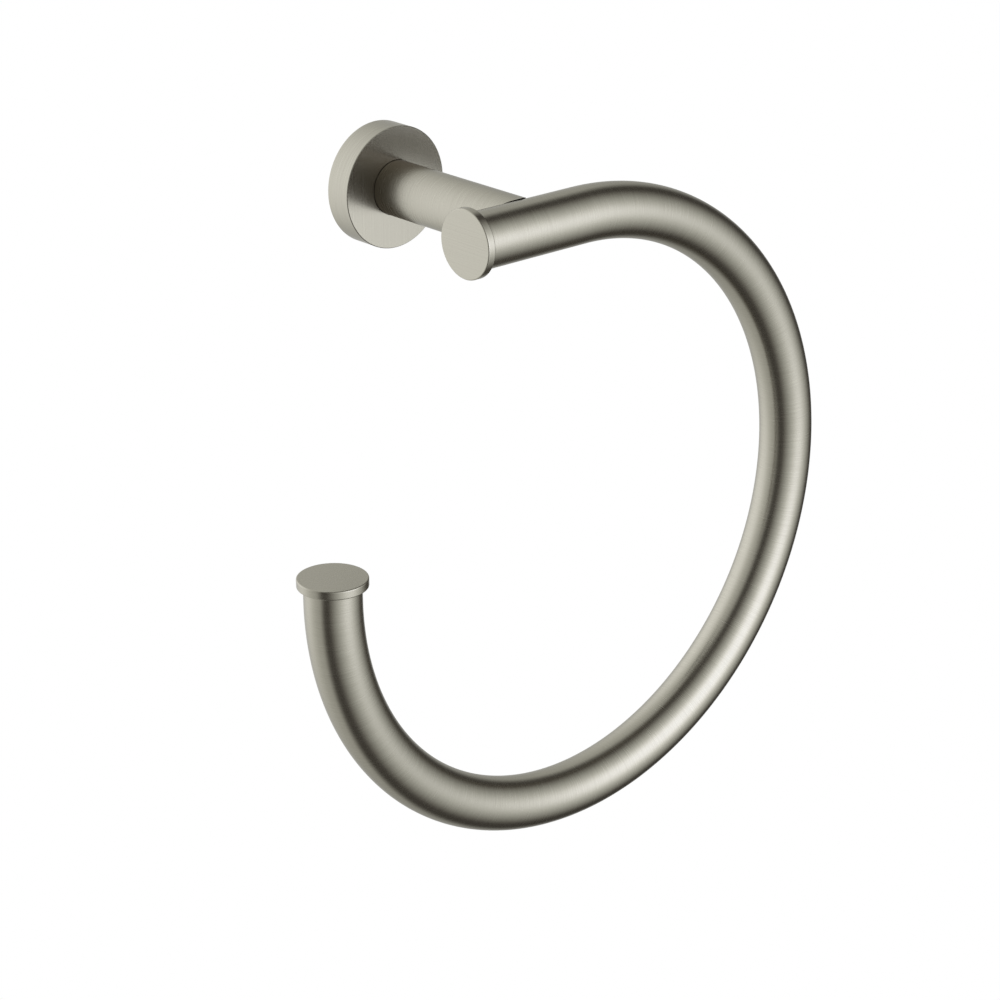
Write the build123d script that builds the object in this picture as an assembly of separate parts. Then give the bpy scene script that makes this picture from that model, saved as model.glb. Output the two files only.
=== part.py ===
from build123d import *
import math
import os

# Wall-mounted open towel ring: the wall is the plane y = 0, the ring stands out along -Y and +Z is up.
# The origin is the middle of the rosette on the wall. Sizes are in millimetres.

# Ring: a tube with a straight bar at the top, a bend and a short straight tail
tube_diameter = 18.0
tube_wall = 1.2
ring_radius = 100.0
bend_angle = 270.0
bar_before_post = 22.0
bar_after_post = 22.0
tail_length = 4.2

# End caps: a disc wider than the tube, with a spigot in the bore
cap_lip = 2.0
cap_thickness = 2.8
cap_spigot_length = 6.0
spigot_chamfer = 0.6

# Post: a turned bar from the rosette's face to the back of the tube
post_diameter = 18.0
post_reach = 53.0
post_recess = 0.6
cope_relief = 0.5

# Rosette: a turned cup that hides the fixing
rosette_diameter = 40.0
rosette_wall = 3.0
rosette_face = 2.6

# Through screw and washer: they clamp rosette, post and tube together
screw_diameter = 6.0
screw_head_diameter = 10.0
screw_head_height = 4.0
screw_socket_width = 4.0
screw_socket_depth = 2.3
screw_overrun = 3.8
screw_end_chamfer = 0.8
screw_head_room = 1.4
washer_diameter = 12.0
washer_thickness = 1.6

# Slug: a cross-tapped cylinder inside the bar, which the through screw draws against the tube's back
slug_length = 14.0
slug_chamfer = 0.5

# Wall plate: a ring under the rosette, with two countersunk wall-screw holes and a V groove round its edge
plate_bore_diameter = 14.6
plate_front_gap = 2.5
wall_hole_diameter = 4.5
wall_hole_mouth_diameter = 8.0
groove_depth = 1.0

# Grub screw: it holds the rosette on the wall plate from below
grub_diameter = 4.0
grub_recess = 0.2
grub_socket_width = 2.0
grub_socket_depth = 1.5

# Clearances and broken edges
slip_clearance = 0.15
seat_clearance = 0.03
thread_clearance = 0.05
screw_clearance = 0.3
plate_clearance = 0.3
grub_tip_clearance = 0.1
edge_break = 0.3

# Sizes that follow
tube_radius = tube_diameter / 2
bore_radius = tube_radius - tube_wall
plug_radius = bore_radius - slip_clearance
cap_radius = tube_radius + cap_lip
post_radius = post_diameter / 2
screw_radius = screw_diameter / 2
screw_hole_radius = screw_radius + screw_clearance
cup_depth = washer_thickness + screw_head_height + screw_head_room
rosette_radius = rosette_diameter / 2
rosette_bore_radius = rosette_radius - rosette_wall
rosette_depth = cup_depth + rosette_face
post_back_y = post_recess - rosette_depth
plate_radius = rosette_bore_radius - plate_clearance
plate_bore_radius = plate_bore_diameter / 2
plate_thickness = cup_depth - plate_front_gap
groove_height = plate_thickness / 2
wall_hole_offset = (plate_radius + plate_bore_radius) / 2
tube_axis_y = -(rosette_depth + post_reach + tube_radius)
bar_end = Vector(-bar_before_post, tube_axis_y, 0)
bend_start = Vector(bar_after_post, tube_axis_y, 0)
ring_centre = bend_start - Vector(0, 0, ring_radius)
turn = math.radians(bend_angle)
tail_direction = Vector(math.cos(turn), 0, -math.sin(turn))
tail_start = ring_centre + Vector(math.sin(turn), 0, math.cos(turn)) * ring_radius
tail_end = tail_start + tail_direction * tail_length

wallwards = Vector(0, 1, 0)
roomwards = Vector(0, -1, 0)
leftwards = Vector(-1, 0, 0)
rightwards = Vector(1, 0, 0)
upwards = Vector(0, 0, 1)
downwards = Vector(0, 0, -1)


def turned(origin, direction, *outline):
    """A turned piece: the outline's points give radius and height along a direction from the origin."""
    section = make_face(Polyline(*[(radius, 0, height) for radius, height in outline], close=True))
    return Plane(origin=origin, z_dir=direction) * revolve(section, Axis.Z, 360)


def drilled(origin, direction, radius, depth):
    """The space that a drill clears along a direction from the origin."""
    return turned(origin, direction, (0, 0), (radius, 0), (radius, depth), (0, depth))


def key_socket(origin, direction, width, depth):
    """The hole for a hexagon key, sunk along a direction from the origin."""
    hexagon = RegularPolygon(width / 2, 6, major_radius=False)
    return Plane(origin=origin, z_dir=direction) * extrude(hexagon, depth)


def make_ring_tube():
    """Bar, bend and tail in one hollow tube, with the screw's hole in the back of the bar."""
    section = Circle(tube_radius) - Circle(bore_radius)
    bar = Plane(origin=bar_end, z_dir=rightwards) * extrude(section, bar_before_post + bar_after_post)
    bend_section = Plane(origin=bend_start, z_dir=rightwards) * section
    bend = revolve(bend_section, Axis(ring_centre, wallwards), bend_angle)
    tail = Plane(origin=tail_start, z_dir=tail_direction) * extrude(section, tail_length)
    return bar + bend + tail - drilled((0, tube_axis_y, 0), wallwards, screw_hole_radius, tube_diameter)


def make_end_cap(cut_end, outwards):
    """A disc on the tube's cut end, with both rims broken, and a spigot in the bore."""
    return turned(
        cut_end,
        outwards,
        (0, -cap_spigot_length),
        (plug_radius - spigot_chamfer, -cap_spigot_length),
        (plug_radius, spigot_chamfer - cap_spigot_length),
        (plug_radius, 0),
        (cap_radius - edge_break, 0),
        (cap_radius, edge_break),
        (cap_radius, cap_thickness - edge_break),
        (cap_radius - edge_break, cap_thickness),
        (0, cap_thickness),
    )


def make_post():
    """A bored bar let into the rosette's face and coped at its front end to sit across the tube."""
    cope_radius = tube_radius + cope_relief
    cope_axis_y = tube_axis_y + tube_radius + seat_clearance - cope_radius
    length = post_back_y - cope_axis_y
    bar = turned(
        (0, post_back_y, 0),
        roomwards,
        (screw_hole_radius, 0),
        (post_radius, 0),
        (post_radius, length),
        (screw_hole_radius, length),
    )
    return bar - drilled((-post_diameter, cope_axis_y, 0), rightwards, cope_radius, 2 * post_diameter)


def make_rosette():
    """A cup, open to the wall, with a seat for the post, a screw hole and a tapped hole underneath."""
    seat_radius = post_radius + slip_clearance
    seat_height = rosette_depth - post_recess
    cup = turned(
        (0, 0, 0),
        roomwards,
        (rosette_bore_radius, 0),
        (rosette_radius, 0),
        (rosette_radius, rosette_depth - edge_break),
        (rosette_radius - edge_break, rosette_depth),
        (seat_radius, rosette_depth),
        (seat_radius, seat_height),
        (screw_hole_radius, seat_height),
        (screw_hole_radius, cup_depth),
        (rosette_bore_radius, cup_depth),
    )
    tapped_radius = grub_diameter / 2 + thread_clearance
    return cup - drilled((0, -groove_height, 0), downwards, tapped_radius, rosette_diameter)


def make_through_screw():
    """A low-head socket screw from inside the rosette, through the post and into the slug."""
    tip_y = tube_axis_y - screw_overrun
    seat = washer_thickness - cup_depth - tip_y
    top = seat + screw_head_height
    head_radius = screw_head_diameter / 2
    screw = turned(
        (0, tip_y, 0),
        wallwards,
        (0, 0),
        (screw_radius - screw_end_chamfer, 0),
        (screw_radius, screw_end_chamfer),
        (screw_radius, seat),
        (head_radius, seat),
        (head_radius, top - edge_break),
        (head_radius - edge_break, top),
        (0, top),
    )
    return screw - key_socket((0, tip_y + top, 0), roomwards, screw_socket_width, screw_socket_depth)


def make_washer():
    """A plain washer between the screw's head and the rosette."""
    return turned(
        (0, -cup_depth, 0),
        wallwards,
        (screw_hole_radius, 0),
        (washer_diameter / 2, 0),
        (washer_diameter / 2, washer_thickness),
        (screw_hole_radius, washer_thickness),
    )


def make_threaded_slug():
    """A cylinder inside the bar, tapped across for the through screw."""
    slug = turned(
        (-slug_length / 2, tube_axis_y, 0),
        rightwards,
        (0, 0),
        (plug_radius - slug_chamfer, 0),
        (plug_radius, slug_chamfer),
        (plug_radius, slug_length - slug_chamfer),
        (plug_radius - slug_chamfer, slug_length),
        (0, slug_length),
    )
    tapped_radius = screw_radius + thread_clearance
    return slug - drilled((0, tube_axis_y - tube_radius, 0), wallwards, tapped_radius, tube_diameter)


def make_wall_plate():
    """A ring against the wall, with two countersunk holes in a level line and the grub screw's groove."""
    plate = turned(
        (0, 0, 0),
        roomwards,
        (plate_bore_radius, 0),
        (plate_radius, 0),
        (plate_radius, groove_height - groove_depth),
        (plate_radius - groove_depth, groove_height),
        (plate_radius, groove_height + groove_depth),
        (plate_radius, plate_thickness),
        (plate_bore_radius, plate_thickness),
    )
    hole_radius = wall_hole_diameter / 2
    mouth_radius = wall_hole_mouth_diameter / 2
    for x in (-wall_hole_offset, wall_hole_offset):
        plate -= turned(
            (x, 0, 0),
            roomwards,
            (0, 0),
            (hole_radius, 0),
            (hole_radius, plate_thickness - mouth_radius + hole_radius),
            (mouth_radius, plate_thickness),
            (0, plate_thickness),
        )
    return plate


def make_grub_screw():
    """A cone-point socket screw, up through the rosette's wall into the plate's groove."""
    tip = plate_radius - groove_depth + grub_tip_clearance
    outer_end = rosette_radius - grub_recess
    radius = grub_diameter / 2
    screw = turned(
        (0, -groove_height, 0),
        downwards,
        (0, tip),
        (radius, tip + radius),
        (radius, outer_end),
        (0, outer_end),
    )
    socket_mouth = (0, -groove_height, -outer_end)
    return screw - key_socket(socket_mouth, upwards, grub_socket_width, grub_socket_depth)


pieces = {
    "rosette": make_rosette(),
    "wall_plate": make_wall_plate(),
    "grub_screw": make_grub_screw(),
    "post": make_post(),
    "through_screw": make_through_screw(),
    "washer": make_washer(),
    "threaded_slug": make_threaded_slug(),
    "ring_tube": make_ring_tube(),
    "upper_end_cap": make_end_cap(bar_end, leftwards),
    "lower_end_cap": make_end_cap(tail_end, tail_direction),
}

os.makedirs("parts", exist_ok=True)
for name, piece in pieces.items():
    export_step(piece, f"parts/{name}.step")
    print(name, round(piece.volume, 1), "mm3")
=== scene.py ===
# %% [markdown]
# # An open towel ring in brushed nickel
#
# A bent tube hangs in front of the wall on a short post, and a round rosette hides the fixing.
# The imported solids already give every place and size. This lesson adds what solids can't carry: brush
# marks that follow each surface, and a studio in which plain metal looks like metal.
# Blender counts in metres, but a workshop drawing is in millimetres, so sizes are written that way and
# turned into metres where they are used. The wall is the plane y = 0, the room lies towards minus y, and
# z points up.

import math

import bmesh
import bpy
import numpy as np
from mathutils import Matrix, Vector


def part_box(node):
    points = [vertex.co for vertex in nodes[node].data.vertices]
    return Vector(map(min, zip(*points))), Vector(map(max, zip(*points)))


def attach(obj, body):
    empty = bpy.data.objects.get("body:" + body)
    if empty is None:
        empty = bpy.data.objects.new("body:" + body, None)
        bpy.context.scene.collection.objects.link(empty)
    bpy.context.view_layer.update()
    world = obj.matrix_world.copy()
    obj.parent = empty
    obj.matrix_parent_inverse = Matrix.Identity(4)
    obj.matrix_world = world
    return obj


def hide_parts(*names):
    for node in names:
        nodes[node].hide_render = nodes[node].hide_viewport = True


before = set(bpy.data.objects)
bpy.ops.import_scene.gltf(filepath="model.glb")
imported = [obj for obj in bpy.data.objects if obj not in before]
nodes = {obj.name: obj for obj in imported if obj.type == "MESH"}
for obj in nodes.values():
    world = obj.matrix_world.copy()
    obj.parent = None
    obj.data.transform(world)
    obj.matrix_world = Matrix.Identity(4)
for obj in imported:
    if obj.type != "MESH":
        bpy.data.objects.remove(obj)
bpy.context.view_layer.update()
MM = 0.001
print("solids:", sorted(nodes))

# %% [markdown]
# ## Where the camera stands
#
# The photograph looks at the ring from the left, from the room, and from a little above.
# A camera could be aimed by eye, but the outline of the tube tells more: this place, turn and lens were
# found by laying the known solid over the outline. The lens is long, so the far side hardly shrinks.

# %% Camera
SENSOR_WIDTH = 36.0
FOCAL_LENGTH = 96.5
STAND = (-530.1, -652.6, 234.8)
TURNED_RIGHT = math.radians(41.8)
TIPPED_DOWN = math.radians(22.4)

level = math.cos(TIPPED_DOWN)
backward = Vector((
    -math.sin(TURNED_RIGHT) * level,
    -math.cos(TURNED_RIGHT) * level,
    math.sin(TIPPED_DOWN),
))
long_lens = bpy.data.cameras.new("long_lens")
long_lens.sensor_width = SENSOR_WIDTH
long_lens.lens = FOCAL_LENGTH
camera = bpy.data.objects.new("camera", long_lens)
camera.location = Vector(STAND) * MM
camera.rotation_euler = (-backward).to_track_quat("-Z", "Y").to_euler()
bpy.context.scene.collection.objects.link(camera)
bpy.context.scene.camera = camera
bpy.context.scene.view_settings.view_transform = "Standard"
print("camera stands", round(Vector(STAND).length), "mm from the rosette")

# %% [markdown]
# ## Small helpers for nodes
#
# Shader trees and Geometry Nodes trees share many nodes. Each helper adds one node and hands back its
# output, so that a formula stays readable as a formula. The first one feeds a socket, from another node
# or with a plain value.

# %% Node helpers
OPAQUE = 1.0
RAMP_END = 1.0


def feed(tree, socket, value):
    if isinstance(value, bpy.types.NodeSocket):
        tree.links.new(value, socket)
    else:
        socket.default_value = value


def maths(tree, operation, *values):
    node = tree.nodes.new("ShaderNodeMath")
    node.operation = operation
    for socket, value in zip(node.inputs, values):
        feed(tree, socket, value)
    return node.outputs[0]


def vector_maths(tree, operation, *values):
    node = tree.nodes.new("ShaderNodeVectorMath")
    node.operation = operation
    for socket, value in zip(node.inputs, values):
        feed(tree, socket, value)
    return node.outputs["Value" if operation in ("DOT_PRODUCT", "LENGTH") else "Vector"]


def joined(tree, x, y, z):
    node = tree.nodes.new("ShaderNodeCombineXYZ")
    for socket, value in zip(node.inputs, (x, y, z)):
        feed(tree, socket, value)
    return node.outputs[0]


def ramp(tree, place, stops):
    node = tree.nodes.new("ShaderNodeValToRGB")
    feed(tree, node.inputs[0], place)
    marks = node.color_ramp.elements
    while len(marks) < len(stops):
        marks.new(RAMP_END)
    for mark, (position, colour) in zip(marks, stops):
        mark.position = position
        mark.color = (*colour, OPAQUE)
    return node.outputs[0]


print("helpers: feed, maths, vector_maths, joined, ramp")

# %% [markdown]
# ## The studio
#
# Metal has hardly any colour of its own: it shows the room. In the photograph the ring shows one broad
# soft light in front, dark sides, and a pale wall behind it. Area lamps could do that, but their hard
# edges would show in the metal. So a big tent round the ring glows as such a room does, and the camera
# looks through the tent at a plain white world.

# %% White world
WHITE = (1.0, 1.0, 1.0)
WHITE_STRENGTH = 1.0
world = bpy.data.worlds.new("white_background")
world.use_nodes = True
world.node_tree.nodes["Background"].inputs["Color"].default_value = (*WHITE, OPAQUE)
world.node_tree.nodes["Background"].inputs["Strength"].default_value = WHITE_STRENGTH
bpy.context.scene.world = world
print("background: white, strength", WHITE_STRENGTH)

# %% [markdown]
# Both glows of the tent depend only on the angle from their own middle, so each is a ramp over an angle.
# The light in front is cool in its middle and fades to nearly black at the sides. The wall's glow is
# dimmer and fades more slowly, and a wall has an edge: a third angle, from the middle of the room,
# switches it on.

# %% Light in front and wall behind
BLACK = (0.0, 0.0, 0.0)
HALF_TURN = 180.0


def pointing(turn_degrees, rise_degrees):
    """A direction: turn 0 points from the wall into the room, 90 to the right; rise is upwards."""
    turn = math.radians(turn_degrees)
    rise = math.radians(rise_degrees)
    return (math.sin(turn) * math.cos(rise), -math.cos(turn) * math.cos(rise), math.sin(rise))


def angle_ramp(tree, direction, middle, stops):
    """A ramp over the angle from a middle direction. Its stops are in degrees."""
    cosine = vector_maths(tree, "DOT_PRODUCT", direction, middle)
    share = maths(tree, "DIVIDE", maths(tree, "ARCCOSINE", cosine), math.pi)
    return ramp(tree, share, [(angle / HALF_TURN, colour) for angle, colour in stops])


FRONT_MIDDLE = pointing(16.8, 3.2)
WALL_MIDDLE = pointing(-164.5, 2.7)
ROOM_MIDDLE = pointing(17.2, 0.0)
front_light = (
    (0, (0.93, 0.95, 1.05)),
    (15, (0.94, 0.94, 1.01)),
    (25, (0.70, 0.70, 0.71)),
    (35, (0.47, 0.47, 0.465)),
    (45, (0.34, 0.34, 0.33)),
    (55, (0.23, 0.23, 0.22)),
    (65, (0.13, 0.125, 0.116)),
    (75, (0.041, 0.037, 0.034)),
    (100, (0.035, 0.032, 0.028)),
)
wall_light = (
    (0, (0.605, 0.605, 0.61)),
    (20, (0.605, 0.605, 0.61)),
    (35, (0.52, 0.52, 0.52)),
    (50, (0.375, 0.375, 0.365)),
    (65, (0.28, 0.28, 0.27)),
    (80, (0.24, 0.24, 0.23)),
    (95, (0.165, 0.16, 0.15)),
)
wall_edge = ((89, BLACK), (104, WHITE))
print("the light in front fades over", front_light[-1][0], "degrees, the wall over", wall_light[-1][0])

# %% [markdown]
# Where metal mirrors metal, as in the corner of post and rosette, a ray leaves the ring after more than
# one bounce. The photograph is darker and browner there than an open tent would be, because a real room
# is partly hidden from such a corner, so every further bounce finds about half of the tent's light.

# %% Glow of the tent
TENT_STRENGTH = 2.9
FIRST_BOUNCE = 1.0
FURTHER_BOUNCE = (0.48, 0.43, 0.40)

glow = bpy.data.materials.new("tent_glow")
glow.use_nodes = True
tree = glow.node_tree
tree.nodes.remove(tree.nodes["Principled BSDF"])
outward = vector_maths(tree, "NORMALIZE", tree.nodes.new("ShaderNodeTexCoord").outputs["Object"])
front = angle_ramp(tree, outward, FRONT_MIDDLE, front_light)
wall = angle_ramp(tree, outward, WALL_MIDDLE, wall_light)
behind = angle_ramp(tree, outward, ROOM_MIDDLE, wall_edge)
bounces = tree.nodes.new("ShaderNodeLightPath").outputs["Ray Depth"]
further = maths(tree, "MAXIMUM", maths(tree, "SUBTRACT", bounces, FIRST_BOUNCE), 0.0)
fading = joined(tree, *(maths(tree, "POWER", share, further) for share in FURTHER_BOUNCE))
open_glow = vector_maths(tree, "MULTIPLY_ADD", wall, behind, front)
emission = tree.nodes.new("ShaderNodeEmission")
feed(tree, emission.inputs["Color"], vector_maths(tree, "MULTIPLY", open_glow, fading))
feed(tree, emission.inputs["Strength"], TENT_STRENGTH)
feed(tree, tree.nodes["Material Output"].inputs["Surface"], emission.outputs[0])
print("tent glow:", len(tree.nodes), "nodes")

# %% [markdown]
# The tent itself is a ball so wide that it looks the same from every point of the ring. It is stage, not
# part of the object, and the camera doesn't see it.
# Cycles finds a glowing surface in two ways: a ray that leaves the metal meets it by chance, or a ray is
# aimed at it. Aiming at a tent that is everywhere costs time and gains little. So only the bright part in
# front is aimed at, which keeps the dark corners of the metal free of grain, and its faces get a copy of
# the glow that says so.

# %% Tent
TENT_RADIUS = 3.0
TENT_DIVISIONS = 4
AIMED_AT = math.radians(50.0)
BRIGHT_SLOT = 1
tent_mesh = bpy.data.meshes.new("tent")
shell = bmesh.new()
bmesh.ops.create_icosphere(shell, subdivisions=TENT_DIVISIONS, radius=TENT_RADIUS)
shell.to_mesh(tent_mesh)
shell.free()
bright_glow = glow.copy()
bright_glow.name = "tent_glow_in_front"
glow.cycles.emission_sampling = "NONE"
tent_mesh.materials.append(glow)
tent_mesh.materials.append(bright_glow)
for face in tent_mesh.polygons:
    if face.center.angle(Vector(FRONT_MIDDLE)) < AIMED_AT:
        face.material_index = BRIGHT_SLOT
tent = bpy.data.objects.new("tent", tent_mesh)
bpy.context.scene.collection.objects.link(tent)
tent.visible_camera = False
print("tent:", len(tent_mesh.polygons), "faces, radius", TENT_RADIUS, "m")

# %% [markdown]
# ## The floor
#
# The ring hangs on a wall, so its floor is far below, out of the picture. It is still there as a plain
# pale disc, which gives the eye a ground in views from high up. The rim of a disc would be a hard line
# against the white world, so the floor melts into white towards it. The metal doesn't mirror the floor,
# because the tent already holds all that the metal should show.

# %% Floor
FLOOR_DEPTH = 1.3
FLOOR_RADIUS = 1.4
FLOOR_SIDES = 96
ALONG_FLOOR = (1.0, 1.0, 0.0)
MELT_FROM = 0.3
MELT_TO = 0.95
PALE = (0.86, 0.86, 0.85)
PALE_ROUGHNESS = 0.8
floor_mesh = bpy.data.meshes.new("floor")
disc = bmesh.new()
bmesh.ops.create_circle(disc, cap_ends=True, segments=FLOOR_SIDES, radius=FLOOR_RADIUS)
bmesh.ops.translate(disc, verts=disc.verts, vec=(0.0, 0.0, -FLOOR_DEPTH))
disc.to_mesh(floor_mesh)
disc.free()

pale_floor = bpy.data.materials.new("pale_floor")
pale_floor.use_nodes = True
tree = pale_floor.node_tree
ground = tree.nodes["Principled BSDF"]
ground.inputs["Base Color"].default_value = (*PALE, OPAQUE)
ground.inputs["Roughness"].default_value = PALE_ROUGHNESS
place = tree.nodes.new("ShaderNodeTexCoord").outputs["Object"]
reach = vector_maths(tree, "LENGTH", vector_maths(tree, "MULTIPLY", place, ALONG_FLOOR))
share = maths(tree, "DIVIDE", reach, FLOOR_RADIUS)
melt = tree.nodes.new("ShaderNodeMixShader")
feed(tree, melt.inputs[0], ramp(tree, share, [(MELT_FROM, BLACK), (MELT_TO, WHITE)]))
feed(tree, melt.inputs[1], ground.outputs[0])
feed(tree, melt.inputs[2], tree.nodes.new("ShaderNodeEmission").outputs[0])
feed(tree, tree.nodes["Material Output"].inputs["Surface"], melt.outputs[0])

floor_mesh.materials.append(pale_floor)
floor = bpy.data.objects.new("floor", floor_mesh)
bpy.context.scene.collection.objects.link(floor)
floor.visible_glossy = False
print("floor", FLOOR_DEPTH, "m below the rosette")

# %% [markdown]
# ## Brushed nickel
#
# Nickel plate is brushed with a fine abrasive, which leaves thousands of shallow lines. Two things follow.
# The lines blur what the metal mirrors, but only across themselves, so the shader is anisotropic. And
# they can be seen, just, as faint streaks of tone. Each piece carries two attributes for this: `grain` is
# the direction of its lines, and `brush` holds a slow place along a line and a fast place across the
# lines. Noise read at `brush` is therefore stretched into streaks, whatever way the surface bends.

# %% Streaks
ALONG_LINE = 1.0
STREAK_SCALE = 1.0
STREAK_ROUGHNESS = 0.6


def noise_at(tree, place, scale, detail, roughness):
    node = tree.nodes.new("ShaderNodeTexNoise")
    node.inputs["Scale"].default_value = scale
    node.inputs["Detail"].default_value = detail
    node.inputs["Roughness"].default_value = roughness
    feed(tree, node.inputs["Vector"], place)
    return node.outputs["Fac"]


def streaks(tree, brush, lines_per_metre, detail):
    stretched = vector_maths(tree, "MULTIPLY", brush, (ALONG_LINE, ALONG_LINE, lines_per_metre))
    return noise_at(tree, stretched, STREAK_SCALE, detail, STREAK_ROUGHNESS)


def attribute(tree, name):
    node = tree.nodes.new("ShaderNodeAttribute")
    node.attribute_name = name
    return node.outputs["Vector"]


print("helpers: noise_at, streaks, attribute")

# %% [markdown]
# Fine streaks and wider ones are added up to one height. Where it is high, the metal is a little lighter
# and a little rougher, and a faint bump lets the lines catch the light. What is the same all over, such
# as the stretch of the blur, is set on the shader's own sockets.

# %% Brushed nickel
ALL_METAL = 1.0
FINE_LINES = 5200.0
FINE_DETAIL = 2.0
FINE_SHARE = 0.55
WIDE_LINES = 2300.0
WIDE_DETAIL = 1.0
WIDE_SHARE = 0.45
LINE_DARK = (0.3, (0.308, 0.299, 0.258))
LINE_LIGHT = (0.7, (0.358, 0.350, 0.304))
SMOOTHEST = 0.21
ROUGHER = 0.10
LINE_DEPTH = 0.05 * MM
LINE_STRENGTH = 0.06
RIM_TINT = (0.6, 0.6, 0.6)
STRETCHED = 0.4
QUARTER_TURN = 0.25

nickel = bpy.data.materials.new("nickel_with_brush_lines")
nickel.use_nodes = True
tree = nickel.node_tree
metal = tree.nodes["Principled BSDF"]
metal.inputs["Metallic"].default_value = ALL_METAL
metal.inputs["Specular Tint"].default_value = (*RIM_TINT, OPAQUE)
metal.inputs["Anisotropic"].default_value = STRETCHED
metal.inputs["Anisotropic Rotation"].default_value = QUARTER_TURN
brush = attribute(tree, "brush")
fine = maths(tree, "MULTIPLY", streaks(tree, brush, FINE_LINES, FINE_DETAIL), FINE_SHARE)
wide = maths(tree, "MULTIPLY", streaks(tree, brush, WIDE_LINES, WIDE_DETAIL), WIDE_SHARE)
lines = maths(tree, "ADD", fine, wide)
feed(tree, metal.inputs["Base Color"], ramp(tree, lines, [LINE_DARK, LINE_LIGHT]))
feed(tree, metal.inputs["Roughness"], maths(tree, "MULTIPLY_ADD", lines, ROUGHER, SMOOTHEST))
bump = tree.nodes.new("ShaderNodeBump")
bump.inputs["Strength"].default_value = LINE_STRENGTH
bump.inputs["Distance"].default_value = LINE_DEPTH
feed(tree, bump.inputs["Height"], lines)
feed(tree, metal.inputs["Normal"], bump.outputs[0])
feed(tree, metal.inputs["Tangent"], attribute(tree, "grain"))
print("brushed nickel:", len(tree.nodes), "nodes")

# %% [markdown]
# ## The ring tube
#
# The tube is one length of round tube: a short level bar, a bend of three quarters of a circle, and a
# short straight tail that ends pointing up. A curve drawn by hand would wobble, so Geometry Nodes bend a
# straight line by rule, as a tube bender does: each point knows how far along the tube it is, and from
# that how much of the bar, of the bend and of the tail lies behind it.

# %% Bending rule
bender = bpy.data.node_groups.new("bent_tube", "GeometryNodeTree")
bender.interface.new_socket("Geometry", in_out="OUTPUT", socket_type="NodeSocketGeometry")
for name, kind in (
    ("Start", "NodeSocketVector"),
    ("Bar Length", "NodeSocketFloat"),
    ("Bend Radius", "NodeSocketFloat"),
    ("Bend Angle", "NodeSocketFloat"),
    ("Tail Length", "NodeSocketFloat"),
    ("Tube Radius", "NodeSocketFloat"),
    ("Steps Along", "NodeSocketInt"),
    ("Steps Round", "NodeSocketInt"),
    ("Finish", "NodeSocketMaterial"),
):
    bender.interface.new_socket(name, in_out="INPUT", socket_type=kind)
given = bender.nodes.new("NodeGroupInput").outputs
bar = given["Bar Length"]
radius = given["Bend Radius"]
arc_length = maths(bender, "MULTIPLY", radius, given["Bend Angle"])
bar_and_arc = maths(bender, "ADD", bar, arc_length)
whole_length = maths(bender, "ADD", bar_and_arc, given["Tail Length"])

straight = bender.nodes.new("GeometryNodeCurvePrimitiveLine")
feed(bender, straight.inputs["End"], joined(bender, whole_length, 0.0, 0.0))
stepped = bender.nodes.new("GeometryNodeResampleCurve")
feed(bender, stepped.inputs["Curve"], straight.outputs[0])
feed(bender, stepped.inputs["Count"], given["Steps Along"])

so_far = bender.nodes.new("GeometryNodeSplineParameter").outputs["Length"]
on_bar = maths(bender, "MINIMUM", so_far, bar)
past_bar = maths(bender, "MAXIMUM", maths(bender, "SUBTRACT", so_far, bar), 0.0)
turn = maths(bender, "DIVIDE", maths(bender, "MINIMUM", past_bar, arc_length), radius)
on_tail = maths(bender, "MAXIMUM", maths(bender, "SUBTRACT", past_bar, arc_length), 0.0)
sine = maths(bender, "SINE", turn)
cosine = maths(bender, "COSINE", turn)
tail_x = maths(bender, "MULTIPLY", on_tail, cosine)
tail_z = maths(bender, "MULTIPLY", on_tail, sine)
bend_x = maths(bender, "MULTIPLY_ADD", radius, sine, tail_x)
bend_z = maths(bender, "MULTIPLY", radius, maths(bender, "SUBTRACT", cosine, 1.0))
bent_x = maths(bender, "ADD", on_bar, bend_x)
bent_z = maths(bender, "SUBTRACT", bend_z, tail_z)
print("bending rule:", len(bender.nodes), "nodes")

# %% [markdown]
# The rule needs its distances before the line is bent, so they are stored on the points first. A circle
# swept along the line then makes the tube's skin, and the sweep hands both attributes on to it: the
# distance along the line, and the turn round the circle.

# %% Sweep
def stored(tree, geometry, name, kind, value):
    node = tree.nodes.new("GeometryNodeStoreNamedAttribute")
    node.data_type = kind
    feed(tree, node.inputs["Geometry"], geometry)
    node.inputs["Name"].default_value = name
    feed(tree, node.inputs["Value"], value)
    return node.outputs["Geometry"]


measured = stored(bender, stepped.outputs[0], "along", "FLOAT", so_far)
bent = bender.nodes.new("GeometryNodeSetPosition")
feed(bender, bent.inputs["Geometry"], measured)
bent_place = joined(bender, bent_x, 0.0, bent_z)
feed(bender, bent.inputs["Position"], vector_maths(bender, "ADD", given["Start"], bent_place))
tangent = bender.nodes.new("GeometryNodeInputTangent").outputs[0]
path = stored(bender, bent.outputs[0], "heading", "FLOAT_VECTOR", tangent)

circle = bender.nodes.new("GeometryNodeCurvePrimitiveCircle")
feed(bender, circle.inputs["Resolution"], given["Steps Round"])
feed(bender, circle.inputs["Radius"], given["Tube Radius"])
share = bender.nodes.new("GeometryNodeSplineParameter").outputs["Factor"]
round_turn = maths(bender, "MULTIPLY", share, math.tau)
section = stored(bender, circle.outputs[0], "round", "FLOAT", round_turn)
sweep = bender.nodes.new("GeometryNodeCurveToMesh")
feed(bender, sweep.inputs["Curve"], path)
feed(bender, sweep.inputs["Profile Curve"], section)
print("sweep:", len(bender.nodes), "nodes so far")

# %% [markdown]
# Distance and turn together give the brush marks. They run round the tube, as an abrasive belt leaves
# them: slow round the circle, fast along the line. The tree ends with real faces and the nickel on them.

# %% Brush marks on the sweep
def named(tree, name, kind):
    node = tree.nodes.new("GeometryNodeInputNamedAttribute")
    node.data_type = kind
    node.inputs["Name"].default_value = name
    return node.outputs["Attribute"]


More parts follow.
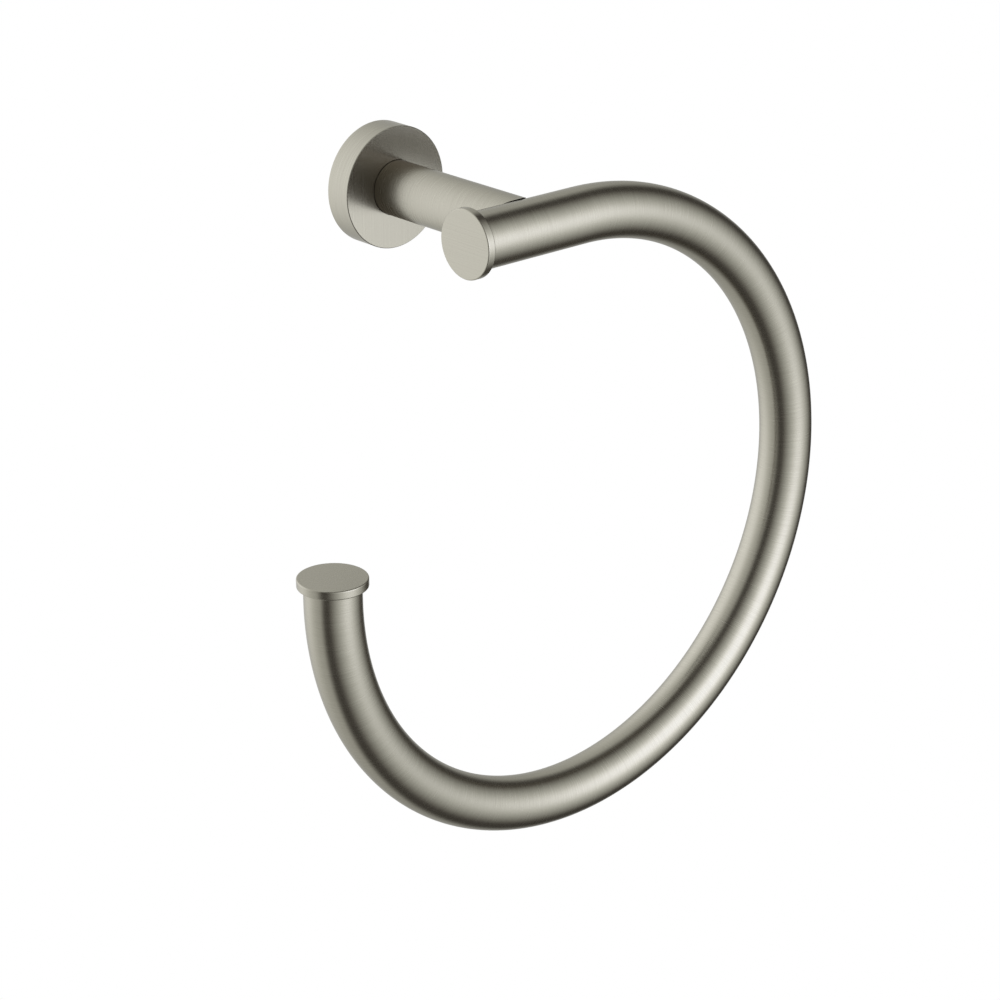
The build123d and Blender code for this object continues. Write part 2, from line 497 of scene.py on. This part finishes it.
round_angle = named(bender, "round", "FLOAT")
place = joined(
    bender,
    maths(bender, "COSINE", round_angle),
    maths(bender, "SINE", round_angle),
    named(bender, "along", "FLOAT"),
)
marked = stored(bender, sweep.outputs[0], "brush", "FLOAT_VECTOR", place)
facing = bender.nodes.new("GeometryNodeInputNormal").outputs[0]
heading = named(bender, "heading", "FLOAT_VECTOR")
across = vector_maths(bender, "NORMALIZE", vector_maths(bender, "CROSS_PRODUCT", heading, facing))
marked = stored(bender, marked, "grain", "FLOAT_VECTOR", across)
smooth = bender.nodes.new("GeometryNodeSetShadeSmooth")
feed(bender, smooth.inputs["Geometry"], marked)
real = bender.nodes.new("GeometryNodeRealizeInstances")
feed(bender, real.inputs[0], smooth.outputs[0])
finished = bender.nodes.new("GeometryNodeSetMaterial")
feed(bender, finished.inputs["Geometry"], real.outputs[0])
feed(bender, finished.inputs["Material"], given["Finish"])
result = bender.nodes.new("NodeGroupOutput")
feed(bender, result.inputs[0], finished.outputs[0])
print("bent tube:", len(bender.nodes), "nodes in the whole tree")

# %% [markdown]
# Now the sizes. They could be written down again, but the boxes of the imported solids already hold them,
# and a size that is read can't drift away from its solid. The ring's box gives tube, bend and bar, and
# the caps' boxes give disc, plug and tail. The slug and the plugs slip into the bore, so the slug's box
# gives the tube's wall. A box comes from fine facets, so its corners are rounded to a hundredth of a
# millimetre.

# %% Sizes of the ring
X, Y, Z = range(3)
BOX_DIGITS = 2
SLIP = 0.15


def corners(name):
    """The lowest and the highest corner of a solid's box, in millimetres."""
    return [np.round(np.array(corner, float) / MM, BOX_DIGITS).tolist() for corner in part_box(name)]


ring_low, ring_high = corners("ring_tube")
_, slug_high = corners("threaded_slug")
upper_low, upper_high = corners("upper_end_cap")
_, lower_high = corners("lower_end_cap")
tube_radius = ring_high[Z]
ring_plane = ring_high[Y] - tube_radius
ring_radius = (ring_high[Z] - ring_low[Z]) / 2 - tube_radius
half_bar = ring_high[X] - ring_radius - tube_radius
plug_radius = slug_high[Z]
wall_thickness = tube_radius - plug_radius - SLIP
cap_radius = -upper_low[Z]
cap_thickness = -half_bar - upper_low[X]
plug_depth = upper_high[X] + half_bar
tail_length = lower_high[Z] - cap_thickness + ring_radius
print("ring radius", ring_radius, "tube radius", tube_radius, "wall", round(wall_thickness, BOX_DIGITS))

# %% [markdown]
# A modifier's inputs are known by their identifiers, not by their names, so a small dictionary looks
# them up. Once the sizes are in, the swept skin is made plain mesh and the modifier goes.

# %% Bend the tube
THREE_QUARTERS = math.radians(270.0)
STEPS_ALONG = 321
STEPS_ROUND = 72


def settled(piece):
    """Makes a piece's modifiers part of its mesh."""
    bpy.context.view_layer.update()
    evaluated = piece.evaluated_get(bpy.context.evaluated_depsgraph_get())
    mesh = bpy.data.meshes.new_from_object(evaluated)
    piece.modifiers.clear()
    piece.data = mesh


def new_piece(name, mesh):
    piece = bpy.data.objects.new(name, mesh)
    bpy.context.scene.collection.objects.link(piece)
    return piece


ring_tube = new_piece("brushed_ring_tube", bpy.data.meshes.new("ring_tube"))
bending = ring_tube.modifiers.new("bending", "NODES")
bending.node_group = bender
sockets = bender.interface.items_tree
inputs = {socket.name: socket.identifier for socket in sockets if socket.in_out == "INPUT"}
sizes = {
    "Start": (-half_bar * MM, ring_plane * MM, 0.0),
    "Bar Length": 2 * half_bar * MM,
    "Bend Radius": ring_radius * MM,
    "Bend Angle": THREE_QUARTERS,
    "Tail Length": tail_length * MM,
    "Tube Radius": tube_radius * MM,
    "Steps Along": STEPS_ALONG,
    "Steps Round": STEPS_ROUND,
    "Finish": nickel,
}
for name, value in sizes.items():
    bending[inputs[name]] = value
settled(ring_tube)
print("bent skin:", len(ring_tube.data.polygons), "faces")

# %% [markdown]
# So far the tube is a skin without thickness. Solidify gives it the tube's wall, towards the inside, and
# a narrow Bevel takes the burr off the two sawn ends, as a file does.

# %% Wall and sawn ends
INWARDS = -1.0
DEBURR = 0.25
SAWN_EDGE = math.radians(60.0)

tube_wall = ring_tube.modifiers.new("tube_wall", "SOLIDIFY")
tube_wall.thickness = wall_thickness * MM
tube_wall.offset = INWARDS
deburred = ring_tube.modifiers.new("deburred", "BEVEL")
deburred.width = DEBURR * MM
deburred.segments = 1
deburred.angle_limit = SAWN_EDGE
settled(ring_tube)
print("tube with its wall:", len(ring_tube.data.polygons), "faces")

# %% [markdown]
# One screw holds the tube to the post, so the back of the bar has a hole for it. A Boolean with a round
# drill cuts it cleanly through the wall, and the same helper will bore the rosette later.

# %% Drill the screw hole
SCREW_BORE = 3.3
DRILL_SIDES = 48
DRILL_RUN = 3.0
SHARP_EDGE = math.radians(10.0)
TOUCHING = 0.001 * MM


def cleaned(mesh):
    """Merges points that touch, drops faces without area, and marks the sharp edges."""
    work = bmesh.new()
    work.from_mesh(mesh)
    bmesh.ops.remove_doubles(work, verts=work.verts, dist=TOUCHING)
    bmesh.ops.dissolve_degenerate(work, edges=work.edges, dist=TOUCHING)
    work.to_mesh(mesh)
    work.free()
    mesh.set_sharp_from_angle(angle=SHARP_EDGE)


def bored(piece, start, end, radius):
    """Drills a round hole into a piece, from start to end in millimetres."""
    way = Vector(end) - Vector(start)
    middle = (Vector(start) + Vector(end)) / 2
    drill = bmesh.new()
    bmesh.ops.create_cone(
        drill, cap_ends=True, segments=DRILL_SIDES, radius1=radius, radius2=radius, depth=way.length
    )
    turn = way.to_track_quat("Z", "Y").to_matrix().to_4x4()
    place = Matrix.Scale(MM, 4) @ Matrix.Translation(middle) @ turn
    bmesh.ops.transform(drill, matrix=place, verts=drill.verts)
    mesh = bpy.data.meshes.new("drill")
    drill.to_mesh(mesh)
    drill.free()
    tool = new_piece("drill", mesh)
    hole = piece.modifiers.new("hole", "BOOLEAN")
    hole.operation = "DIFFERENCE"
    hole.solver = "EXACT"
    hole.object = tool
    settled(piece)
    bpy.data.objects.remove(tool)
    cleaned(piece.data)


drill_end = ring_plane + tube_radius + DRILL_RUN
bored(ring_tube, (0.0, ring_plane, 0.0), (0.0, drill_end, 0.0), SCREW_BORE)
layers = [layer.name for layer in ring_tube.data.attributes]
print("ring tube:", len(ring_tube.data.polygons), "faces,", layers)

# %% [markdown]
# ## Turned pieces
#
# The rosette and the two caps come from a lathe, so one outline turned about an axis makes each of them.
# The post is turned too, but its end is cut to a saddle that fits the tube: its outline simply changes
# with the angle. Shading changes sharply wherever the outline turns a corner, because smooth shading
# round a broken edge would make the flat face beside it look domed.

# %% Lathe
SIDES = 144


def turned(name, outline_at, origin, axis, first_side):
    """A piece turned about axis. outline_at(angle) gives its outline in millimetres at that angle."""
    axis = Vector(axis)
    origin = Vector(origin)
    first_side = Vector(first_side)
    second_side = axis.cross(first_side)
    work = bmesh.new()
    rings = []
    for side in range(SIDES):
        angle = math.tau * side / SIDES
        spoke = first_side * math.cos(angle) + second_side * math.sin(angle)
        points = [origin + spoke * reach + axis * height for reach, height in outline_at(angle)]
        rings.append([work.verts.new(point * MM) for point in points])
    for one, other in zip(rings, rings[1:] + rings[:1]):
        for a, b, c, d in zip(one, other, other[1:] + other[:1], one[1:] + one[:1]):
            work.faces.new((a, b, c, d))
    bmesh.ops.remove_doubles(work, verts=work.verts, dist=TOUCHING)
    bmesh.ops.dissolve_degenerate(work, edges=work.edges, dist=TOUCHING)
    bmesh.ops.recalc_face_normals(work, faces=work.faces)
    mesh = bpy.data.meshes.new(name)
    work.to_mesh(mesh)
    work.free()
    mesh.shade_smooth()
    mesh.set_sharp_from_angle(angle=SHARP_EDGE)
    mesh.materials.append(nickel)
    return new_piece(name, mesh)


print("lathe:", SIDES, "sides")

# %% [markdown]
# ## Brush marks on turned pieces
#
# A turned wall is brushed while it spins, so its lines run round. A flat face is rubbed on a belt, so its
# lines run straight. The face's own direction tells which it is: the helper below reads it for every
# corner of every face, and writes the same two attributes that the tube got from its sweep. Each piece
# has a seed of its own, so that no two carry the same streaks.

# %% Lay the brush marks
FLAT = 0.9
FACE_SPAN = 150.0 * MM
STRAIGHT_LAYER = 2.0
ON_AXIS = 1e-9


def lay_brush(piece, origin, axis, belt, seed):
    """Writes brush and grain: round the axis on walls, along the belt's direction on flat faces."""
    mesh = piece.data
    count = len(mesh.loops)
    at = np.empty(len(mesh.vertices) * 3)
    mesh.vertices.foreach_get("co", at)
    corner = np.empty(count, int)
    mesh.loops.foreach_get("vertex_index", corner)
    corners_of_face = np.empty(len(mesh.polygons), int)
    mesh.polygons.foreach_get("loop_total", corners_of_face)
    normal = np.empty(len(mesh.polygons) * 3)
    mesh.polygons.foreach_get("normal", normal)
    normal = np.repeat(normal.reshape(-1, 3), corners_of_face, axis=0)
    axis = np.array(axis, float)
    belt = np.array(belt, float)
    second = np.cross(axis, belt)
    away = at.reshape(-1, 3)[corner] - np.array(origin) * MM
    height = away @ axis
    spoke = away - height[:, None] * axis
    spoke = spoke / np.maximum(np.linalg.norm(spoke, axis=1), ON_AXIS)[:, None]
    flat = np.abs(normal @ axis) > FLAT
    round_marks = np.stack([spoke @ belt + seed, spoke @ second, height], 1)
    slow = away @ belt / FACE_SPAN + seed
    straight_marks = np.stack([slow, np.full(count, STRAIGHT_LAYER), away @ second], 1)
    brush_marks = np.where(flat[:, None], straight_marks, round_marks)
    grain = np.where(flat[:, None], belt, np.cross(axis, spoke))
    for name, values in (("brush", brush_marks), ("grain", grain)):
        layer = mesh.attributes.new(name, "FLOAT_VECTOR", "CORNER")
        layer.data.foreach_set("vector", values.astype(np.float32).ravel())
    print(piece.name, "has straight lines at", int(flat.sum()), "of", count, "corners")


print("brush marks run straight where a face looks along the axis by more than", FLAT)

# %% [markdown]
# ## Caps
#
# Each cut end of the tube is closed by a disc a little wider than the tube, with a plug that sits in the
# bore. The thin rim that stands out round the tube catches the light. Its two edges are rounded, in steps
# too fine to see, and draw a fine line each.

# %% Caps
EDGE_ROUND = 0.4
EDGE_STEPS = 4
PLUG_LEAD = 0.6
TO_FACE = 90.0
TO_RIM = 0.0
TO_TUBE = -90.0
LEFT = (-1, 0, 0)
RIGHT = (1, 0, 0)
UP = (0, 0, 1)
INTO_WALL = (0, 1, 0)


def rounded_edge(reach, height, start_degrees, end_degrees):
    """Outline points on a small arc. Its middle is at reach and height; 0 degrees points outwards."""
    turns = np.radians(np.linspace(start_degrees, end_degrees, EDGE_STEPS + 1))
    return [(reach + EDGE_ROUND * np.cos(turn), height + EDGE_ROUND * np.sin(turn)) for turn in turns]


cap_outline = [
    (0.0, cap_thickness),
    *rounded_edge(cap_radius - EDGE_ROUND, cap_thickness - EDGE_ROUND, TO_FACE, TO_RIM),
    *rounded_edge(cap_radius - EDGE_ROUND, EDGE_ROUND, TO_RIM, TO_TUBE),
    (plug_radius, 0.0),
    (plug_radius, PLUG_LEAD - plug_depth),
    (plug_radius - PLUG_LEAD, -plug_depth),
    (0.0, -plug_depth),
]


def cap_at(angle):
    return cap_outline


upper_end = (-half_bar, ring_plane, 0.0)
lower_end = (half_bar - ring_radius, ring_plane, tail_length - ring_radius)
upper_cap = turned("brushed_upper_cap", cap_at, upper_end, LEFT, INTO_WALL)
lower_cap = turned("brushed_lower_cap", cap_at, lower_end, UP, RIGHT)
lay_brush(upper_cap, upper_end, LEFT, belt=INTO_WALL, seed=11.0)
lay_brush(lower_cap, lower_end, UP, belt=RIGHT, seed=23.0)

# %% [markdown]
# ## Post
#
# The post is a plain bar as thick as the tube. Its far end is coped: cut by a cylinder a hair wider than
# the tube, so that the bar sits in a saddle and only a fine dark line shows at the sides. A lathe can't
# cut a saddle, but its height follows from the cylinder at every angle and radius, so the outline
# knows it.

# %% Post
COPE_RELIEF = 0.5
SEAT_GAP = 0.03
SADDLE_STEPS = 12
ROOM = (0, -1, 0)
WALL_POINT = (0, 0, 0)
post_low, post_high = corners("post")
post_radius = -post_low[Z]
post_base = -post_high[Y]
cope_radius = tube_radius + COPE_RELIEF
cope_axis = -ring_plane - tube_radius - SEAT_GAP + cope_radius


def post_at(angle):
    """The post's outline at an angle: its base, and then the saddle from rim to bore."""
    def saddle(reach):
        return cope_axis - math.sqrt(cope_radius**2 - (reach * math.sin(angle)) ** 2)

    step = (post_radius - SCREW_BORE) / SADDLE_STEPS
    reaches = [post_radius - step * count for count in range(SADDLE_STEPS + 1)]
    base = [(SCREW_BORE, post_base), (post_radius, post_base)]
    return base + [(reach, saddle(reach)) for reach in reaches]


post = turned("brushed_post", post_at, WALL_POINT, ROOM, RIGHT)
lay_brush(post, WALL_POINT, ROOM, belt=RIGHT, seed=37.0)

# %% [markdown]
# ## Rosette
#
# The rosette is a cup that stands on the wall, with a shallow seat for the post in its face. The plate
# on the wall tells how wide the cup is inside, and the washer, which lies on its floor, how deep. A
# small hole in its underside takes the grub screw. Its front edge is crisper than the caps' edges: one
# narrow slope, as a single pass of the tool leaves it. In the photograph the faint lines on its face
# run upright, so its face was rubbed up and down.

# %% Rosette
EDGE_SLOPE = 0.2
PLATE_GAP = 0.3
THREAD_GAP = 0.05
rosette_low, rosette_high = corners("rosette")
plate_low, _ = corners("wall_plate")
washer_low, _ = corners("washer")
grub_low, grub_high = corners("grub_screw")
rosette_radius = rosette_high[X]
rosette_depth = -rosette_low[Y]
seat_radius = post_radius + SLIP
cup_radius = PLATE_GAP - plate_low[Z]
cup_depth = -washer_low[Y]
grub_radius = THREAD_GAP - grub_low[X]
grub_y = (grub_low[Y] + grub_high[Y]) / 2

rosette_outline = [
    (rosette_radius, 0.0),
    (rosette_radius, rosette_depth - EDGE_SLOPE),
    (rosette_radius - EDGE_SLOPE, rosette_depth),
    (seat_radius, rosette_depth),
    (seat_radius, post_base),
    (SCREW_BORE, post_base),
    (SCREW_BORE, cup_depth),
    (cup_radius, cup_depth),
    (cup_radius, 0.0),
]


def rosette_at(angle):
    return rosette_outline


rosette = turned("brushed_rosette", rosette_at, WALL_POINT, ROOM, RIGHT)
drill_from = (0.0, grub_y, DRILL_RUN - cup_radius)
drill_to = (0.0, grub_y, -rosette_radius - DRILL_RUN)
bored(rosette, drill_from, drill_to, grub_radius)
lay_brush(rosette, WALL_POINT, ROOM, belt=UP, seed=53.0)

# %% [markdown]
# ## What the rosette hides
#
# Seen from the wall there are a plate, a screw with its washer, a grub screw, and a slug in the tube.
# Their solids are already right, so they only need a finish. Plate, screw and washer were turned about
# the post's axis, and the tool left rings: noise that depends on the distance from the axis and on the
# height draws them, on flats and walls alike. A coarser noise adds the cloudy tone of plating. Of the
# grub screw and the slug so little shows that the same rule serves them.

# %% Turned finishes
RINGS = 2600.0
RING_DETAIL = 2.0
CLOUDS = 160.0
CLOUD_DETAIL = 3.0
EVEN_NOISE = 0.5
EVEN_SHARE = 0.5
DARK_AT = 0.35
LIGHT_AT = 0.65
SMOOTHER = -0.2
RING_STRENGTH = 0.2
RING_DEPTH = 0.03 * MM


def turned_finish(name, dark, light, roughest):
    material = bpy.data.materials.new(name)
    material.use_nodes = True
    tree = material.node_tree
    shader = tree.nodes["Principled BSDF"]
    shader.inputs["Metallic"].default_value = ALL_METAL
    at = tree.nodes.new("ShaderNodeTexCoord").outputs["Object"]
    parts = tree.nodes.new("ShaderNodeSeparateXYZ")
    feed(tree, parts.inputs[0], at)
    x, y, z = parts.outputs
    reach = maths(tree, "SQRT", maths(tree, "MULTIPLY_ADD", x, x, maths(tree, "MULTIPLY", z, z)))
    rings = noise_at(tree, joined(tree, reach, y, 0.0), RINGS, RING_DETAIL, EVEN_NOISE)
    clouds = noise_at(tree, at, CLOUDS, CLOUD_DETAIL, EVEN_NOISE)
    mixed = maths(tree, "MULTIPLY", maths(tree, "ADD", rings, clouds), EVEN_SHARE)
    feed(tree, shader.inputs["Base Color"], ramp(tree, mixed, [(DARK_AT, dark), (LIGHT_AT, light)]))
    feed(tree, shader.inputs["Roughness"], maths(tree, "MULTIPLY_ADD", mixed, SMOOTHER, roughest))
    bump = tree.nodes.new("ShaderNodeBump")
    bump.inputs["Strength"].default_value = RING_STRENGTH
    bump.inputs["Distance"].default_value = RING_DEPTH
    feed(tree, bump.inputs["Height"], rings)
    feed(tree, shader.inputs["Normal"], bump.outputs[0])
    return material


print("turned finish:", round(RINGS * MM, 1), "rings to the millimetre")

# %% [markdown]
# The plate is zinc-plated steel, a little bluish and dull. The screws and the washer are bare stainless
# steel, and the slug is turned brass. Each solid keeps its mesh and only gets the finish in its slots.

# %% Finish the hidden pieces
ZINC_DARK = (0.33, 0.345, 0.36)
ZINC_LIGHT = (0.47, 0.475, 0.465)
STEEL_DARK = (0.30, 0.30, 0.30)
STEEL_LIGHT = (0.43, 0.425, 0.415)
BRASS_DARK = (0.42, 0.29, 0.11)
BRASS_LIGHT = (0.56, 0.41, 0.18)
DULL = 0.55
SATIN = 0.42
zinc = turned_finish("turned_zinc", ZINC_DARK, ZINC_LIGHT, DULL)
steel = turned_finish("turned_steel", STEEL_DARK, STEEL_LIGHT, SATIN)
brass = turned_finish("turned_brass", BRASS_DARK, BRASS_LIGHT, SATIN)
for name, finish in (
    ("wall_plate", zinc),
    ("grub_screw", steel),
    ("through_screw", steel),
    ("washer", steel),
    ("threaded_slug", brass),
):
    for slot in nodes[name].material_slots:
        slot.material = finish
    print(name, "gets", finish.name)

# %% [markdown]
# ## Everything rides on the one body
#
# Nothing on this part moves, so each piece rides on the body called root. Each stands for its solid,
# which is hidden but stays behind for collisions.

# %% Ride, and hide the solids
for piece, solid in (
    (ring_tube, "ring_tube"),
    (upper_cap, "upper_end_cap"),
    (lower_cap, "lower_end_cap"),
    (post, "post"),
    (rosette, "rosette"),
):
    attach(piece, "root")
    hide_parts(solid)
    print(piece.name, "stands for", solid)
